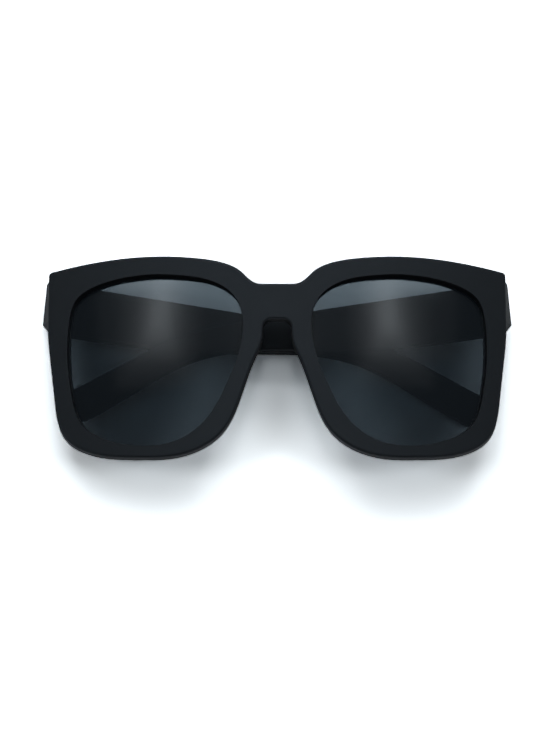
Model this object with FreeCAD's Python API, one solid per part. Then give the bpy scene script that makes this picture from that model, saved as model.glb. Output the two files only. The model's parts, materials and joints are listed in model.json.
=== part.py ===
import FreeCAD, Part
import math
import os

Vector = FreeCAD.Vector

# Oversized sunglasses, folded and lying on the arms with the front upwards.
# The pieces are drawn as the glasses are worn: x across, y backwards, z up, with the middle of
# the lens openings at z = 0 and the middle of the face at y = 0. Sizes are in millimetres and
# degrees. The wearer's left is at +x. The last step lays the folded glasses down.

# Lens openings at the face, measured as opticians box them
lens_width = 58.2
lens_height = 56.2
bridge_width = 21.2

# One lens opening as (across, up, rim), in halves of its box from its middle, with the nose at
# -1. The rim is the width of the front outside that point, and 0 where the brow sets it.
lens_shape = [
    (-0.12, 1.00, 0.0),
    (-0.49, 0.957, 0.0),
    (-0.78, 0.845, 0.0),
    (-0.945, 0.665, 0.0),
    (-1.00, 0.40, 0.0),
    (-0.955, 0.08, 5.55),
    (-0.80, -0.33, 5.85),
    (-0.58, -0.715, 6.8),
    (-0.235, -0.958, 4.95),
    (0.175, -1.00, 4.0),
    (0.535, -0.93, 5.1),
    (0.82, -0.74, 6.45),
    (0.95, -0.36, 5.2),
    (1.00, 0.14, 5.4),
    (0.985, 0.44, 0.0),
    (0.90, 0.74, 0.0),
    (0.615, 0.915, 0.0),
    (0.245, 0.99, 0.0),
]

# Of those points, the two that the nose pad lies between
pad_points = slice(5, 7)

# Lenses
lens_thickness = 1.6
lens_radius = 240.0
lens_set_back = 1.4
lens_edge_bevel = 0.4
groove_depth = 0.9
groove_clearance = 0.05

# Front
face_radius = 280.0
front_thickness = 5.4
brow_rim = 6.15
corner_drop = 3.95
corner_reach = 5.4
side_lean = 0.2
bridge_drop = 9.7
bridge_flat = 4.6
# The brow between the bridge and the corner, as (share of half the lens width, drop from its peak)
brow_line = [(-0.96, 5.4), (-0.75, 2.4), (-0.50, 1.0), (0.03, 0.0), (0.56, 0.9)]
brow_end_slope = 0.20
corner_round = 1.4
bridge_height = 11.75
nose_arch_flat = 1.7
nose_arch_round = 2.8
front_edge_round = 0.7
back_edge_bevel = 0.6
# The openings narrow by this much from the face down to this depth
opening_draft = 0.6
opening_draft_depth = 3.0

# Nose pads, moulded in one with the front
pad_length = 17.0
pad_width = 4.2
pad_depth = 10.0
pad_up = -6.0
pad_lean = 12.0

# Lugs, which carry the front's half of each hinge
lug_drop = 0.8
lug_height = 17.5
lug_inset = 2.0
lug_flare_top = 1.1
lug_flare_bottom = 2.3
lug_bottom_bevel = 3.0
lug_top_bevel = 0.9
lug_root_depth = 1.6
lug_root_inset = 0.6
rim_start_above_lug = 0.55

# Arms
arm_length = 148.5
arm_drop = 8.9
arm_straight_share = 0.573
ear_bend = 20.0
ear_bend_share = 0.613
ear_bow_share = 0.757
arm_top_drop = 1.0
arm_thickness = 3.8
arm_thickness_middle = 3.0
arm_thickness_tip = 2.6
arm_root = 14.0
ear_bow = 1.5
arm_edge_round = 0.8
arm_butt_gap = 0.15
# Height of the arm below its top edge, as (share of its length, height)
arm_heights = [(0.0, 17.3), (0.25, 16.3), (0.48, 11.7), (0.66, 9.5), (0.85, 10.4)]
tip_height = 11.0

# Hinges
hinge_offset = 1.5
hinge_height = 7.6
knuckle_radius = 1.3
knuckle_gap = 0.1
pin_radius = 0.7
pin_clearance = 0.04
pin_head_radius = 1.15
pin_head_height = 0.6
pin_head_bevel = 0.24
pin_slot_width = 0.28
pin_slot_depth = 0.3
leaf_thickness = 0.8
leaf_length = 3.1
leaf_reach = 1.6
leaf_end_gap = 0.24
leaf_corner_round = 1.1
leaf_screw_radius = 0.6
leaf_screw_length = 2.0
leaf_screw_head_radius = 1.0
leaf_screw_head_height = 0.5
leaf_screw_head_bevel = 0.2
leaf_screw_spacing = 4.2
leaf_screw_clearance = 0.02

# Folding: the left arm folds first and lies nearest to the lenses
left_fold = 91.6
right_fold = 88.0

# Values worked out from those above
nose_x = bridge_width / 2
lens_middle_x = nose_x + lens_width / 2
outer_x = nose_x + lens_width
lens_turn = math.asin(lens_middle_x / face_radius)
lens_middle_y = face_radius * (1 - math.cos(lens_turn))
brow_peak = lens_height / 2 + brow_rim
corner_x = outer_x + corner_reach
corner_z = brow_peak - corner_drop
bridge_z = brow_peak - bridge_drop
nose_arch_top = bridge_z - bridge_height
lug_top = corner_z - lug_drop
lug_bottom = lug_top - lug_height
arm_top = corner_z - arm_top_drop
arm_inner_x = corner_x - lug_inset
hinge_x = arm_inner_x - hinge_offset
front_back = face_radius - math.sqrt((face_radius - front_thickness) ** 2 - arm_inner_x ** 2)
lug_back = front_back + leaf_end_gap + leaf_length + leaf_reach
hinge_z = arm_top - arm_heights[0][1] / 2
arm_straight = arm_straight_share * arm_length
ear_bend_radius = ear_bend_share * arm_length
ear_bow_start = ear_bow_share * arm_length
knuckle_height = (hinge_height - 2 * knuckle_gap) / 3
far = 2 * arm_length
touching = 0.01
up = Vector(0, 0, 1)
across = Vector(1, 0, 0)
back = Vector(0, 1, 0)
origin = Vector(0, 0, 0)


def smooth_edge(points, start, end):
    """One smooth edge through the points that leaves and arrives in the given directions."""
    curve = Part.BSplineCurve()
    curve.interpolate(Points=points, InitialTangent=start, FinalTangent=end)
    return curve.toShape()


def mirrored(shape):
    """The same shape on the wearer's right."""
    return shape.mirror(origin, across)


def extruded(wire, way):
    """A solid from a flat closed outline."""
    return Part.Face(wire).extrude(way)


def box(low, high):
    """A box from its lowest corner to its highest."""
    size = high - low
    return Part.makeBox(size.x, size.y, size.z, low)


def rod(radius, start, end):
    """A round rod between two points."""
    return Part.makeCylinder(radius, (end - start).Length, start, end - start)


def lens_points(grow):
    """The points of a lens opening in its own plane, each moved outwards along its normal."""
    points = [Vector(a * lens_width / 2, 0, b * lens_height / 2) for a, b, rim in lens_shape]
    curve = Part.BSplineCurve()
    curve.interpolate(Points=points, PeriodicFlag=True)
    moved = []
    for point, distance in zip(points, grow):
        tangent = curve.tangent(curve.parameter(point))[0]
        moved.append(point + Vector(tangent.z, 0, -tangent.x) * distance)
    return moved


def rim_points(share):
    """The points of the left opening seen from the front, moved outwards by this share of the rim."""
    points = lens_points([rim * share for a, b, rim in lens_shape])
    return [Vector(lens_middle_x + p.x * math.cos(lens_turn), 0, p.z) for p in points]


def lens_outline(grow, depth):
    """The closed outline of a lens opening, grown by one distance all round, this far behind the face."""
    curve = Part.BSplineCurve()
    curve.interpolate(Points=lens_points([grow] * len(lens_shape)), PeriodicFlag=True)
    outline = Part.Wire(curve.toShape())
    outline.translate(back * depth)
    return outline


def in_left_rim(shape):
    """A shape made in the plane of a lens, turned to follow the bowed face on the wearer's left."""
    copy = shape.copy()
    copy.rotate(origin, up, math.degrees(lens_turn))
    copy.translate(Vector(lens_middle_x, lens_middle_y, 0))
    return copy


def lens_opening():
    """What is cut out of the left rim: walls that narrow from the face and then run straight back."""
    start = -opening_draft_depth
    funnel = [lens_outline(opening_draft, start), lens_outline(-opening_draft, opening_draft_depth)]
    column = extruded(lens_outline(-opening_draft, start), back * face_radius / 4)
    return in_left_rim(Part.makeLoft(funnel, True, True).fuse(column))


def lens_solid(grow):
    """The left lens, or with grow above 0 the room for it: a bevelled piece of a hollow ball."""
    ball = back * (lens_set_back + lens_radius)
    shell = Part.makeSphere(lens_radius + grow, ball)
    shell = shell.cut(Part.makeSphere(lens_radius - lens_thickness - grow, ball))
    column = extruded(lens_outline(groove_depth - opening_draft + grow, 0), back * lens_width / 2)
    blank = column.common(shell).Solids[0]
    rims = [edge for edge in blank.Edges if edge.Length > lens_width]
    return in_left_rim(blank.makeChamfer(lens_edge_bevel, rims))


def front_outline():
    """The closed outline of the front, from the bridge round the left half and back."""
    bridge_end = Vector(bridge_flat, 0, bridge_z)
    corner = Vector(corner_x, 0, corner_z)
    lug_end = Vector(corner_x + side_lean, 0, lug_bottom + rim_start_above_lug)
    brow_way = Vector(1, 0, -brow_end_slope).normalize()
    side_way = (lug_end - corner).normalize()
    trim = corner_round * math.tan(brow_way.getAngle(side_way) / 2)
    brow_end = corner - brow_way * trim
    side_start = corner + side_way * trim
    round_centre = brow_end + Vector(brow_way.z, 0, -brow_way.x) * corner_round
    round_middle = round_centre + (corner - round_centre).normalize() * corner_round
    brow = [bridge_end]
    for share, drop in brow_line:
        brow.append(Vector(lens_middle_x + share * lens_width / 2, 0, brow_peak - drop))
    brow.append(brow_end)
    side = [point for point, entry in zip(rim_points(1), lens_shape) if entry[2] > 0]
    side.reverse()
    arch_end = Vector(nose_arch_flat, 0, nose_arch_top)
    arch_centre = arch_end - up * nose_arch_round
    arch_start = arch_centre + across * nose_arch_round
    arch_middle = arch_centre + Vector(1, 0, 1).normalize() * nose_arch_round
    rim = [lug_end] + side + [arch_start]
    half = [
        smooth_edge(brow, across, brow_way),
        Part.Arc(brow_end, round_middle, side_start).toShape(),
        Part.LineSegment(side_start, lug_end).toShape(),
        smooth_edge(rim, side_way, up),
        Part.Arc(arch_start, arch_middle, arch_end).toShape(),
    ]
    edges = [Part.LineSegment(Vector(-bridge_flat, 0, bridge_z), bridge_end).toShape()]
    edges += half
    edges.append(Part.LineSegment(arch_end, Vector(-arch_end.x, 0, arch_end.z)).toShape())
    edges += [mirrored(edge) for edge in half]
    return Part.Wire(Part.__sortEdges__(edges))


def on_face(edge, depth):
    """True if an edge lies on the bowed face, or as far behind it as depth says."""
    middle = edge.valueAt((edge.FirstParameter + edge.LastParameter) / 2)
    for point in [vertex.Point for vertex in edge.Vertexes] + [middle]:
        from_axis = math.hypot(point.x, point.y - face_radius)
        if abs(from_axis - (face_radius - depth)) > touching:
            return False
    return True


def lug():
    """The left lug: a block that flares outwards behind the face and ends at the hinge."""
    front_y = face_radius - math.sqrt(face_radius ** 2 - corner_x ** 2) + lug_root_depth

    def section(depth, outer_top, outer_bottom, foot):
        corners = [
            Vector(arm_inner_x, depth, lug_bottom),
            Vector(foot, depth, lug_bottom),
            Vector(outer_bottom, depth, lug_bottom + lug_bottom_bevel),
            Vector(outer_top, depth, lug_top - lug_top_bevel),
            Vector(outer_top - lug_top_bevel, depth, lug_top),
            Vector(arm_inner_x, depth, lug_top),
        ]
        return Part.makePolygon(corners + corners[:1])

    root_x = corner_x - lug_root_inset
    root = section(front_y, root_x, root_x, root_x - lug_root_inset)
    end = section(lug_back, corner_x + lug_flare_top, corner_x + lug_flare_bottom, corner_x)
    return Part.makeLoft([root, end], True, True)


def nose_pad():
    """The left nose pad: an egg-shaped swelling on the back of the rim beside the nose."""
    upper, lower = rim_points(0.5)[pad_points]
    slope = math.degrees(math.atan2(lower.x - upper.x, upper.z - lower.z))
    share = (pad_up - lower.z) / (upper.z - lower.z)
    middle = lower + (upper - lower) * share
    matrix = FreeCAD.Matrix()
    matrix.scale(pad_width / 2, pad_depth / 2, pad_length / 2)
    pad = Part.makeSphere(1).transformGeometry(matrix)
    pad.rotate(origin, up, -pad_lean)
    pad.rotate(origin, back, -slope)
    pad.translate(middle + back * front_thickness)
    return pad


def front_frame():
    """The moulded front: rims with grooves for the lenses, bridge, lugs and nose pads."""
    slab = Part.makeCylinder(face_radius, far, Vector(0, face_radius, -far / 2))
    hollow = Part.makeCylinder(face_radius - front_thickness, far, Vector(0, face_radius, -far / 2))
    outline = front_outline()
    outline.translate(back * -front_thickness)
    body = extruded(outline, back * face_radius / 4).common(slab.cut(hollow)).Solids[0]
    opening = lens_opening()
    openings = [opening, mirrored(opening)]
    outer_front = [e for e in body.Edges if on_face(e, 0)]
    body = body.makeFillet(front_edge_round, outer_front)
    outer_back = [e for e in body.Edges if on_face(e, front_thickness)]
    body = body.makeChamfer(back_edge_bevel, outer_back)
    body = body.cut(openings).Solids[0]
    pieces = [lug(), nose_pad()]
    body = body.fuse(pieces + [mirrored(piece) for piece in pieces]).removeSplitter()
    body = body.cut(openings).Solids[0]
    room = lens_solid(groove_clearance)
    body = body.cut([room, mirrored(room)])
    holes = leaf_screw_rods(leaf_screw_radius + leaf_screw_clearance, -1)
    return body.cut(holes + [mirrored(hole) for hole in holes]).Solids[0]


def arm_top_edge(distance):
    """The point and direction of the arm's top edge, this far from the hinge along it."""
    drop = math.radians(arm_drop)
    start = Vector(0, lug_back + arm_butt_gap, arm_top)
    way = Vector(0, math.cos(drop), -math.sin(drop))
    if distance <= arm_straight:
        return start + way * distance, way
    bend = math.radians(ear_bend)
    turned = min((distance - arm_straight) / ear_bend_radius, bend)
    below = Vector(0, -math.sin(drop), -math.cos(drop))
    centre = start + way * arm_straight + below * ear_bend_radius
    radial = below * -math.cos(turned) + way * math.sin(turned)
    ahead = way * math.cos(turned) + below * math.sin(turned)
    point = centre + radial * ear_bend_radius
    beyond = max(distance - arm_straight - bend * ear_bend_radius, 0)
    return point + ahead * beyond, ahead


def arm_side():
    """The closed outline of the left arm from the side: a straight top, the ear bend, a round tip."""
    flat_length = arm_length - tip_height / 2
    bend_length = math.radians(ear_bend) * ear_bend_radius
    bend_end = arm_straight + bend_length
    lower = []
    for share, height in arm_heights:
        point, way = arm_top_edge(share * arm_length)
        below = Vector(0, way.z, -way.y)
        lower.append(point + below * height)
    lower[0].y = lug_back + arm_butt_gap
    tip_start, way = arm_top_edge(flat_length)
    below = Vector(0, way.z, -way.y)
    tip_end = tip_start + below * tip_height
    tip_middle = (tip_start + tip_end) * 0.5 + way * tip_height / 2
    lower.append(tip_end)
    first = arm_top_edge(0)[0]
    edges = [
        Part.LineSegment(first, arm_top_edge(arm_straight)[0]).toShape(),
        Part.Arc(
            arm_top_edge(arm_straight)[0],
            arm_top_edge(arm_straight + bend_length / 2)[0],
            arm_top_edge(bend_end)[0],
        ).toShape(),
        Part.LineSegment(arm_top_edge(bend_end)[0], tip_start).toShape(),
        Part.Arc(tip_start, tip_middle, tip_end).toShape(),
        smooth_edge(lower[::-1], way * -1, Vector(0, -1, math.tan(math.radians(arm_drop)))),
        Part.LineSegment(lower[0], first).toShape(),
    ]
    return Part.Wire(edges)


def arm_plan():
    """The closed outline of the left arm from above: flat outside, thinner to the tip, bowed in there."""
    start_y = lug_back + arm_butt_gap
    root_y = start_y + arm_root
    middle_y = start_y + arm_straight
    bow_y = start_y + ear_bow_start
    end_y = start_y + arm_length
    outer_face = arm_inner_x + arm_thickness
    bow_length = end_y - bow_y
    bow_radius = (bow_length ** 2 + ear_bow ** 2) / (2 * ear_bow)
    bow_angle = math.asin(bow_length / bow_radius)
    bow_centre = Vector(outer_face - bow_radius, bow_y, 0)
    outer = [Vector(outer_face, start_y, 0)]
    for share in (0, 0.5, 1):
        turned = share * bow_angle
        outer.append(bow_centre + Vector(math.cos(turned), math.sin(turned), 0) * bow_radius)
    end_way = Vector(math.sin(bow_angle), -math.cos(bow_angle), 0)
    inner = [
        Vector(arm_inner_x, root_y, 0),
        Vector(outer_face - arm_thickness_middle, middle_y, 0),
        Vector(outer[3].x - arm_thickness_tip, end_y, 0),
    ]
    inner_start = Vector(arm_inner_x, start_y, 0)
    edges = [
        Part.LineSegment(outer[0], outer[1]).toShape(),
        Part.Arc(outer[1], outer[2], outer[3]).toShape(),
        Part.LineSegment(outer[3], inner[2]).toShape(),
        smooth_edge(inner[::-1], end_way, Vector(0, -1, 0)),
        Part.LineSegment(inner[0], inner_start).toShape(),
        Part.LineSegment(inner_start, outer[0]).toShape(),
    ]
    return Part.Wire(edges)


def temple():
    """The left arm, open: its side outline and its plan cut out of one block, then rounded."""
    side = arm_side()
    side.translate(across * (outer_x - arm_length))
    plan = arm_plan()
    plan.translate(up * -arm_length)
    arm = extruded(side, across * 2 * arm_length).common(extruded(plan, up * 2 * arm_length))
    arm = arm.Solids[0]
    long_edges = [e for e in arm.Edges if e.BoundBox.YLength > e.BoundBox.XLength + touching]
    arm = arm.makeFillet(arm_edge_round, long_edges)
    return arm.cut(leaf_screw_rods(leaf_screw_radius + leaf_screw_clearance, 1)).Solids[0]


def leaf_screw_rods(radius, side):
    """Rods where the two screws of a leaf go in: side -1 is on the lug and 1 on the arm."""
    y = lug_back + side * (leaf_reach + leaf_length / 2)
    rods = []
    for step in (-0.5, 0.5):
        z = hinge_z + step * leaf_screw_spacing
        start = Vector(arm_inner_x - leaf_thickness, y, z)
        rods.append(rod(radius, start, start + across * (leaf_thickness + leaf_screw_length)))
    return rods


def leaf_screws(side):
    """The two small screws of a leaf, with flat heads on its inner face."""
    screws = []
    for shank in leaf_screw_rods(leaf_screw_radius, side):
        top = Vector(arm_inner_x - leaf_thickness, shank.CenterOfMass.y, shank.CenterOfMass.z)
        head = rod(leaf_screw_head_radius, top - across * leaf_screw_head_height, top)
        rim = [e for e in head.Edges if e.Closed and e.CenterOfMass.x < top.x - touching]
        head = head.makeChamfer(leaf_screw_head_bevel, rim)
        screws.append(head.fuse(shank).removeSplitter())
    return Part.makeCompound(screws)


def knuckle_levels(side):
    """The bottoms of the knuckles of one leaf: two on the lug's and the middle one on the arm's."""
    bottom = hinge_z - hinge_height / 2
    pitch = knuckle_height + knuckle_gap
    return [bottom, bottom + 2 * pitch] if side < 0 else [bottom + pitch]


def hinge_leaf(side):
    """A leaf with its knuckles: side -1 is the leaf on the lug and 1 the leaf on the arm."""
    near = lug_back + side * leaf_reach
    end = near + side * leaf_length
    inner_x = arm_inner_x - leaf_thickness
    half = hinge_height / 2
    low = Vector(inner_x, min(near, end), hinge_z - half)
    high = Vector(arm_inner_x, max(near, end), hinge_z + half)
    leaf = box(low, high)
    far_edges = [e for e in leaf.Edges if abs(e.CenterOfMass.y - end) < touching]
    corners = [e for e in far_edges if e.BoundBox.XLength > leaf_thickness / 2]
    leaf = leaf.makeFillet(leaf_corner_round, corners)
    bores = []
    for level in knuckle_levels(side):
        foot = Vector(hinge_x, lug_back, level)
        barrel = rod(knuckle_radius, foot, foot + up * knuckle_height)
        neck_low = Vector(inner_x, min(lug_back, near), level)
        neck_high = Vector(hinge_x + knuckle_radius, max(lug_back, near), level + knuckle_height)
        leaf = leaf.fuse([barrel, box(neck_low, neck_high)])
        bores.append(rod(pin_radius + pin_clearance, foot - up, foot + up * (knuckle_height + 1)))
    holes = leaf_screw_rods(leaf_screw_radius + leaf_screw_clearance, side)
    return leaf.removeSplitter().cut(bores + holes).Solids[0]


def hinge_screw():
    """The screw on the hinge's axis: its head rests on the upper knuckle and its end is flush."""
    bottom = Vector(hinge_x, lug_back, hinge_z - hinge_height / 2)
    top = bottom + up * hinge_height
    shank = rod(pin_radius, bottom, top)
    head = rod(pin_head_radius, top, top + up * pin_head_height)
    rim = [e for e in head.Edges if e.Closed and e.CenterOfMass.z > top.z + touching]
    head = head.makeChamfer(pin_head_bevel, rim)
    slot_floor = top + up * (pin_head_height - pin_slot_depth)
    slot = box(
        slot_floor - Vector(pin_head_radius * 2, pin_slot_width / 2, 0),
        slot_floor + Vector(pin_head_radius * 2, pin_slot_width / 2, pin_head_height),
    )
    return shank.fuse(head).removeSplitter().cut(slot).Solids[0]


def folded(shape, angle):
    """A piece of the left arm, turned inwards about the left hinge."""
    copy = shape.copy()
    copy.rotate(Vector(hinge_x, lug_back, 0), up, angle)
    return copy


left_front = [
    ("lens", lens_solid(0)),
    ("front_hinge_leaf", hinge_leaf(-1)),
    ("front_leaf_screws", leaf_screws(-1)),
    ("hinge_screw", hinge_screw()),
]
left_arm = [
    ("temple", temple()),
    ("temple_hinge_leaf", hinge_leaf(1)),
    ("temple_leaf_screws", leaf_screws(1)),
]
nodes = {"front_frame": front_frame()}
for name, shape in left_front:
    nodes["left_" + name] = shape
    nodes["right_" + name] = mirrored(shape)
for name, shape in left_arm:
    nodes["left_" + name] = folded(shape, left_fold)
    nodes["right_" + name] = mirrored(folded(shape, right_fold))

# Lay the folded glasses down: the face turns up, the outer side of the right arm lies on
# z = 0, and the middle of the box comes over the origin
for shape in nodes.values():
    shape.rotate(origin, across, -90)
    shape.rotate(origin, back, right_fold - 90)
whole = Part.makeCompound(list(nodes.values())).optimalBoundingBox(False)
shift = Vector(-(whole.XMin + whole.XMax) / 2, -(whole.YMin + whole.YMax) / 2, -whole.ZMin)
os.makedirs("parts", exist_ok=True)
for name, shape in nodes.items():
    shape.translate(shift)
    shape.exportStep("parts/" + name + ".step")
    print(name, len(shape.Solids), round(shape.Volume, 1), shape.isValid())
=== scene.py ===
# %% [markdown]
# # Oversized sunglasses, folded on a white table
#
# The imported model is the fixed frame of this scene. Its solids already have the right shapes, so
# this lesson is about what makes them look real: where the camera stands, what the light does on
# matte plastic and on a dark lens, and the fine detail of each finish.

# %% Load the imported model
import json
import math
import bpy
import numpy as np
from mathutils import Matrix, Vector

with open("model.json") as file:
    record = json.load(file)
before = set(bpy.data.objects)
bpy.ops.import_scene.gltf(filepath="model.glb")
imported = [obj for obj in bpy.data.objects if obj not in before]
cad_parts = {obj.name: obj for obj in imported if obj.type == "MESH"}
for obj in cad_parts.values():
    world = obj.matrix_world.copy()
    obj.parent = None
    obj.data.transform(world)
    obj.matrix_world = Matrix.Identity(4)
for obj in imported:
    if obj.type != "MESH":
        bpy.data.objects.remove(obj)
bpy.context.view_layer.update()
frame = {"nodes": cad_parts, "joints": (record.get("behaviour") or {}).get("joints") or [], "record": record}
nodes = frame["nodes"]
joints = {joint["name"]: joint for joint in frame["joints"]}

# %% [markdown]
# ## Where the front is
#
# The glasses lie on the outer side of the right arm, so the front leans a little to that side. The
# hinges say by how much: the right arm opens to a right angle with the front, so what its range
# lacks to 90 degrees is the lean. Everything that is squared up with the front (the camera, the
# light) is worked out from these three directions.

# %% The front's own directions
lean = math.radians(90 - joints["right_hinge"]["range_deg"][1])
face_out = Vector((-math.sin(lean), 0, math.cos(lean)))
face_up = Vector((0, 1, 0))
face_across = face_up.cross(face_out)
hinge_middle = sum((Vector(j["pos_m"]) for j in joints.values()), Vector()) / len(joints)
lug_depth = 0.020
hinge_above_lens_middle = 0.02065
face_middle = hinge_middle + face_out * lug_depth - face_up * hinge_above_lens_middle
print("middle of the face:", [round(1000 * c, 2) for c in face_middle], "mm")

# %% [markdown]
# ## Camera
#
# The photo looks almost straight down on the front, from 12 degrees towards the nose gap: the upper
# inner walls of the rims show and the lower ones hide. The lugs, 20 mm behind the face, still stick
# out beside it, so the camera stands far back, as product photographers do, with a long lens. The
# image is 550 by 733 pixels, and the front's 153 mm fill 466 of them, so the focal length follows
# from the pixels that one metre takes at that distance. The sensor's 36 mm lie along the taller
# side of the image.

# %% Camera
image_width, image_height = 550, 733
pixels_per_metre = 3107
face_middle_pixel = Vector((277.2, 357.6))
camera_tilt = math.radians(12)
camera_distance = 1.60

towards_camera = face_out * math.cos(camera_tilt) - face_up * math.sin(camera_tilt)
image_up = face_up * math.cos(camera_tilt) + face_out * math.sin(camera_tilt)
centre_offset = Vector((image_width / 2, image_height / 2)) - face_middle_pixel
aim = face_middle + (face_across * centre_offset.x - image_up * centre_offset.y) / pixels_per_metre

camera_data = bpy.data.cameras.new("camera")
camera_data.sensor_width = 36
camera_data.lens = pixels_per_metre * camera_distance * camera_data.sensor_width / image_height
camera_data.clip_start, camera_data.clip_end = 0.01, 20
camera = bpy.data.objects.new("camera", camera_data)
camera.matrix_world = Matrix.Translation(aim + towards_camera * camera_distance) @ Matrix(
    (face_across, image_up, towards_camera)
).transposed().to_4x4()
bpy.context.scene.collection.objects.link(camera)
bpy.context.scene.camera = camera
bpy.context.scene.view_settings.view_transform = "Standard"
print("focal length:", round(camera_data.lens, 1), "mm")

# %% [markdown]
# ## Writing shaders as sums
#
# A finish is a few patterns added together. Wiring every sum by hand hides the idea, so one small
# class wraps a node's output and lets Python's own signs add the Math nodes. A second class holds a
# material and has one method that adds any node, and a few for the nodes that every finish needs.
# A Mix node has a set of sockets for each kind of value, so its colour sockets go by number.

# %% Shader helpers
MIX_SHARE, MIX_FIRST, MIX_SECOND, MIXED_COLOUR = 0, 6, 7, 2


class Field:
    """A number that changes over a surface: an output socket that takes part in Python sums."""

    def __init__(self, shader, socket):
        self.shader, self.socket = shader, socket

    def sum(self, operation, other):
        return self.shader.node("ShaderNodeMath", {"operation": operation}, {0: self, 1: other})

    def __add__(self, other):
        return self.sum("ADD", other)

    def __mul__(self, other):
        return self.sum("MULTIPLY", other)

    __radd__ = __add__
    __rmul__ = __mul__


class Finish:
    """A material, or the node tree of a world."""

    def __init__(self, name, tree=None):
        self.material = None
        if tree is None:
            self.material = bpy.data.materials.new(name)
            self.material.use_nodes = True
            tree = self.material.node_tree
        self.tree = tree
        self.tree.nodes.clear()

    def node(self, kind, settings=None, sockets=None, output=0):
        """A new node with these settings, and with a value or a link in each of these sockets."""
        made = self.tree.nodes.new(kind)
        for key, value in (settings or {}).items():
            setattr(made, key, value)
        for key, value in (sockets or {}).items():
            if isinstance(value, Field):
                self.tree.links.new(value.socket, made.inputs[key])
            else:
                made.inputs[key].default_value = value
        return Field(self, made.outputs[output]) if made.outputs else None

    def place(self, stretch=(1, 1, 1)):
        """Where a point is on the object, in metres, with each direction stretched."""
        point = self.node("ShaderNodeTexCoord", output="Object")
        return self.node("ShaderNodeMapping", sockets={"Vector": point, "Scale": stretch})

    def noise(self, size, stretch=(1, 1, 1), detail=2.0):
        """Soft noise from 0 to 1 with spots of about this size in metres."""
        sockets = {"Vector": self.place(stretch), "Scale": 1 / size, "Detail": detail}
        return self.node("ShaderNodeTexNoise", sockets=sockets)

    def bump(self, height, strength, depth):
        """The direction of a surface that has this pattern on it, so many metres deep."""
        sockets = {"Height": height, "Strength": strength, "Distance": depth}
        return self.node("ShaderNodeBump", sockets=sockets)

    def blend(self, share, first, second):
        """A colour that goes from the first to the second as the share goes from 0 to 1."""
        sockets = {MIX_SHARE: share}
        for key, colour in ((MIX_FIRST, first), (MIX_SECOND, second)):
            sockets[key] = colour if isinstance(colour, Field) else tuple(colour) + (1,)
        return self.node("ShaderNodeMix", {"data_type": "RGBA"}, sockets, MIXED_COLOUR)

    def mix(self, share, first, second):
        """A shader that goes from the first to the second as the share goes from 0 to 1."""
        return self.node("ShaderNodeMixShader", sockets={0: share, 1: first, 2: second})

    def surface(self, shader):
        """The material, with this shader as its surface."""
        self.node("ShaderNodeOutputMaterial", sockets={"Surface": shader})
        return self.material


def scaled(colour, share):
    return [share * c for c in colour]


# %% [markdown]
# ## Matte moulded plastic
#
# The front and the arms are one black plastic. It isn't quite black: a mould with a fine spark
# texture breaks up the highlights, so a soft grey sheen lies over the faces. A bump at a fifth of a
# millimetre gives that grain, and slow changes of roughness keep large faces from looking painted.

# %% Plastic
plastic_colour = (0.0030, 0.0041, 0.0053)
plastic_sheen = (0.80, 0.89, 1, 1)
plastic_ior = 1.5
plastic_roughness, cloud_roughness, grain_roughness = 0.46, 0.08, 0.04
grain_size, grain_detail, grain_strength, grain_depth = 0.00022, 3.0, 0.25, 0.00003
cloud_size, darkest_cloud, lightest_cloud = 0.006, 0.85, 1.15


def moulded_plastic(name):
    finish = Finish(name)
    grain = finish.noise(grain_size, detail=grain_detail)
    cloud = finish.noise(cloud_size)
    darkest = scaled(plastic_colour, darkest_cloud)
    lightest = scaled(plastic_colour, lightest_cloud)
    sockets = {
        "Base Color": finish.blend(cloud, darkest, lightest),
        "Roughness": plastic_roughness + cloud_roughness * cloud + grain_roughness * grain,
        "Specular Tint": plastic_sheen,
        "IOR": plastic_ior,
        "Normal": finish.bump(grain, grain_strength, grain_depth),
    }
    return finish.surface(finish.node("ShaderNodeBsdfPrincipled", sockets=sockets))


frame_plastic = moulded_plastic("matte_black_plastic")
print("made", frame_plastic.name)

# %% [markdown]
# ## Smoke lens
#
# A tinted lens takes away most of the light and gives back a sharp reflection. Real glass with a
# tinted inside would need refracted light on the table. A lens this thin hardly bends light, so
# each of its two faces is a mix instead: mostly a polished dark surface, and the rest lets light
# straight through. Light crosses both faces, so one face passes the square root of the whole. The
# share that lets light through shrinks where the face is seen from the side, as gloss grows there.

# %% Lens
lens_passes = (0.068, 0.084, 0.096)
clearest_tint = 0.95
lens_colour = (0.015, 0.020, 0.025, 1)
lens_ior = 1.5
lens_roughness, haze_roughness = 0.07, 0.05
haze_size, haze_detail = 0.009, 4.0


def smoke_lens(name):
    finish = Finish(name)
    passes = [math.sqrt(c) for c in lens_passes]
    share = max(passes) / clearest_tint
    tint = [c / share for c in passes] + [1]
    through = finish.node("ShaderNodeBsdfTransparent", sockets={"Color": tint})
    haze = finish.noise(haze_size, detail=haze_detail)
    sockets = {
        "Base Color": lens_colour,
        "Roughness": lens_roughness + haze_roughness * haze,
        "IOR": lens_ior,
    }
    polished = finish.node("ShaderNodeBsdfPrincipled", sockets=sockets)
    gloss = finish.node("ShaderNodeFresnel", sockets={"IOR": lens_ior})
    return finish.surface(finish.mix(1 - share + share * gloss, through, polished))


lens_finish = smoke_lens("smoke_lens")
print("made", lens_finish.name)

# %% [markdown]
# ## Hinge steel
#
# The leaves and screws are small stamped and turned steel pieces. Fine lines along the leaf catch
# the light, so the noise is stretched along the front.

# %% Steel
steel_colour = (0.55, 0.55, 0.56)
steel_roughness, line_roughness = 0.26, 0.14
line_size, line_stretch, darkest_line = 0.00012, (0.06, 1, 1), 0.8
line_strength, line_depth = 0.2, 0.00001


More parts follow.
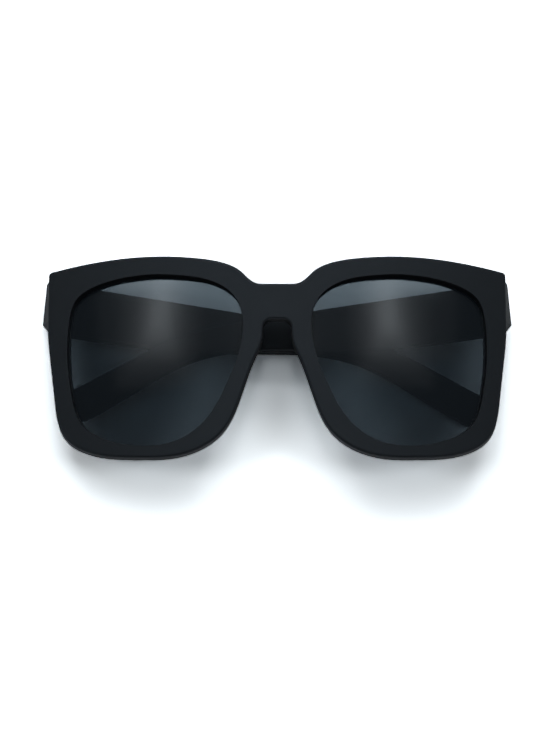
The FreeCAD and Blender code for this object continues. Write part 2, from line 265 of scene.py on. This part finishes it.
def brushed_steel(name):
    finish = Finish(name)
    lines = finish.noise(line_size, line_stretch)
    sockets = {
        "Base Color": finish.blend(lines, scaled(steel_colour, darkest_line), steel_colour),
        "Metallic": 1.0,
        "Roughness": steel_roughness + line_roughness * lines,
        "Normal": finish.bump(lines, line_strength, line_depth),
    }
    return finish.surface(finish.node("ShaderNodeBsdfPrincipled", sockets=sockets))


hinge_steel = brushed_steel("hinge_steel")
print("made", hinge_steel.name)

# %% [markdown]
# ## Which piece has which finish
#
# The record gives each node a material slot, so the finishes are handed out by slot.

# %% Give each node its finish
finishes = {"frame": frame_plastic, "lens": lens_finish, "hinge": hinge_steel}
used = dict.fromkeys(finishes, 0)
for part in frame["record"]["subparts"]:
    slot, piece = part["material_slot"], nodes[part["node"]]
    piece.data.materials.clear()
    piece.data.materials.append(finishes[slot])
    used[slot] += 1
print("pieces with each finish:", used)

# %% [markdown]
# ## Table
#
# The photo's background is burnt out to white, and only the deeper part of the shadow shows. The
# table gives the same under plain light: for what the camera sees, directly or through the lenses,
# it counts as brighter than white, in mirror images as plain white, and for all other light as
# ordinary white paper, so no more light falls on the glasses. It is one bowl-shaped sheet that
# rises far away. The lamps don't reach that far, so the sheet turns into a plain white glow there
# for the same rays, and low views have no horizon.

# %% Table
paper_colour, mirrored_colour, seen_colour = 0.8, 1.0, 4.0
glow_starts, glow_full, mirrored_glow = 0.35, 0.75, 0.6
table_gap = 0.00005


def bowl(radius, flat_radius, wall_height, rings=48, turns=96):
    """A round sheet of height h = wall_height * s ** 2.

    s is 0 up to the flat radius and grows evenly from there to 1 at the edge.
    """
    r = np.linspace(0, 1, rings)[:, None] * radius
    a = np.linspace(0, 2 * math.pi, turns, endpoint=False)[None, :]
    r, a = np.broadcast_arrays(r, a)
    s = np.clip((r - flat_radius) / (radius - flat_radius), 0, 1)
    points = np.stack([r * np.cos(a), r * np.sin(a), wall_height * s ** 2], axis=-1).reshape(-1, 3)
    ring, turn = np.meshgrid(np.arange(rings - 1), np.arange(turns), indexing="ij")
    following = (turn + 1) % turns
    inner, outer = ring * turns, (ring + 1) * turns
    corners = [inner + turn, outer + turn, outer + following, inner + following]
    return points, np.stack(corners, axis=-1).reshape(-1, 4)


def white_table(name):
    finish = Finish(name)
    rays = finish.node("ShaderNodeLightPath").socket.node.outputs
    camera_ray = Field(finish, rays["Is Camera Ray"])
    glossy_ray = Field(finish, rays["Is Glossy Ray"])
    through_ray = Field(finish, rays["Is Transmission Ray"])
    tone = finish.blend(glossy_ray, (paper_colour,) * 3, (mirrored_colour,) * 3)
    tone = finish.blend(camera_ray + through_ray, tone, (seen_colour,) * 3)
    paper = finish.node("ShaderNodeBsdfDiffuse", sockets={"Color": tone})
    length, point = {"operation": "LENGTH"}, {0: finish.place()}
    from_middle = finish.node("ShaderNodeVectorMath", length, point, "Value")
    limits = {"Value": from_middle, "From Min": glow_starts, "From Max": glow_full}
    far = finish.node("ShaderNodeMapRange", sockets=limits)
    glow = finish.node("ShaderNodeEmission", sockets={"Strength": 1.0})
    share = far * (camera_ray + through_ray + mirrored_glow * glossy_ray)
    return finish.surface(finish.mix(share, paper, glow))


points, faces = bowl(radius=3.0, flat_radius=1.2, wall_height=1.6)
table_mesh = bpy.data.meshes.new("table")
table_mesh.from_pydata(points - np.array([0, 0, table_gap]), [], faces.tolist())
table_mesh.polygons.foreach_set("use_smooth", np.ones(len(faces), bool))
table_mesh.materials.append(white_table("white_table"))
table = bpy.data.objects.new("table", table_mesh)
bpy.context.scene.collection.objects.link(table)
print("table faces:", len(faces))

# %% [markdown]
# ## Light
#
# Through the lenses the table is bright above the arms and dark below them, so the main light is a
# large soft box on the brow's side. Two smaller ones stand at the left and the right: they keep the
# shadow under the rims short and reach in through the nose gap. They are hidden from mirror images,
# so that the outer rims stay dark. The lenses mirror what is above them, and there the photo is
# dark apart from one soft upright streak in each. So that part of the sky holds little: a faint
# wide panel that veils the upper half of the lenses, and a narrow strip whose mirror image falls
# between the two lenses.

# %% Light
room_colour, room_strength = (0.93, 0.97, 1, 1), 0.05
lamp_colour = (0.90, 0.96, 1.0)

world = bpy.data.worlds.new("room")
world.use_nodes = True
bpy.context.scene.world = world
room = Finish("room", world.node_tree)
room_light = {"Color": room_colour, "Strength": room_strength}
background = room.node("ShaderNodeBackground", sockets=room_light)
room.node("ShaderNodeOutputWorld", sockets={"Surface": background})


def soft_box(name, across_deg, up_deg, distance, size, radiance):
    """A lamp with this radiance, seen from the face at these angles from straight above."""
    across, up = math.radians(across_deg), math.radians(up_deg)
    way = (face_out + face_across * math.tan(across) + face_up * math.tan(up)).normalized()
    data = bpy.data.lights.new(name, "AREA")
    data.shape = "RECTANGLE"
    data.size, data.size_y = size
    data.color = lamp_colour
    data.energy = radiance * math.pi * size[0] * size[1]
    lamp = bpy.data.objects.new(name, data)
    lamp.visible_camera = False
    side = face_up.cross(way).normalized()
    turn = Matrix((side, way.cross(side), way)).transposed().to_4x4()
    lamp.matrix_world = Matrix.Translation(face_middle + way * distance) @ turn
    bpy.context.scene.collection.objects.link(lamp)
    return lamp


lamps = [
    soft_box("brow_box", 0, up_deg=43, distance=1.1, size=(1.05, 0.62), radiance=1.85),
    soft_box("middle_strip", 0, up_deg=14, distance=1.1, size=(0.08, 0.50), radiance=4.0),
    soft_box("faint_panel", 0, up_deg=22, distance=1.2, size=(1.30, 0.36), radiance=0.15),
]
for across_deg in (-44, 44):
    side_box = soft_box("side_box", across_deg, -4, distance=1.1, size=(0.35, 0.26), radiance=3.5)
    side_box.visible_glossy = False
    lamps.append(side_box)
print("lamps:", [lamp.name for lamp in lamps])

# %% [markdown]
# ## Streaks in the lenses
#
# A streak is brightest along its middle and near the brow, and fades to all other sides. It is
# mirrored from six boxes, one in front of the other. A ray that meets a lamp goes on through it, so
# each smaller box adds its radiance to the wider ones behind it. All six end at the same height on
# the brow's side, and the wider ones reach further down.

# %% Streaks
streak_distance, layer_step = 0.6, 0.006
streak_across_deg, both_shifted_deg, streak_up_deg = 20.6, -0.6, 23.5
streak_width, streak_above, streak_below, narrowing = 0.163, 0.09, 0.164, 0.75
width_shares = (1.0, 0.75, 0.55, 0.39, 0.25, 0.14)
added_radiances = (0.19, 0.22, 0.41, 0.55, 0.68, 0.68)

for side in (-1, 1):
    across_deg = streak_across_deg * side + both_shifted_deg
    for layer, (share, radiance) in enumerate(zip(width_shares, added_radiances)):
        below = streak_below * share ** narrowing
        up_deg = streak_up_deg + math.degrees((streak_above - below) / 2 / streak_distance)
        distance = streak_distance - layer_step * layer
        size = (streak_width * share, streak_above + below)
        soft_box("streak_box", across_deg, up_deg, distance, size, radiance)
print("boxes in each streak:", len(width_shares))
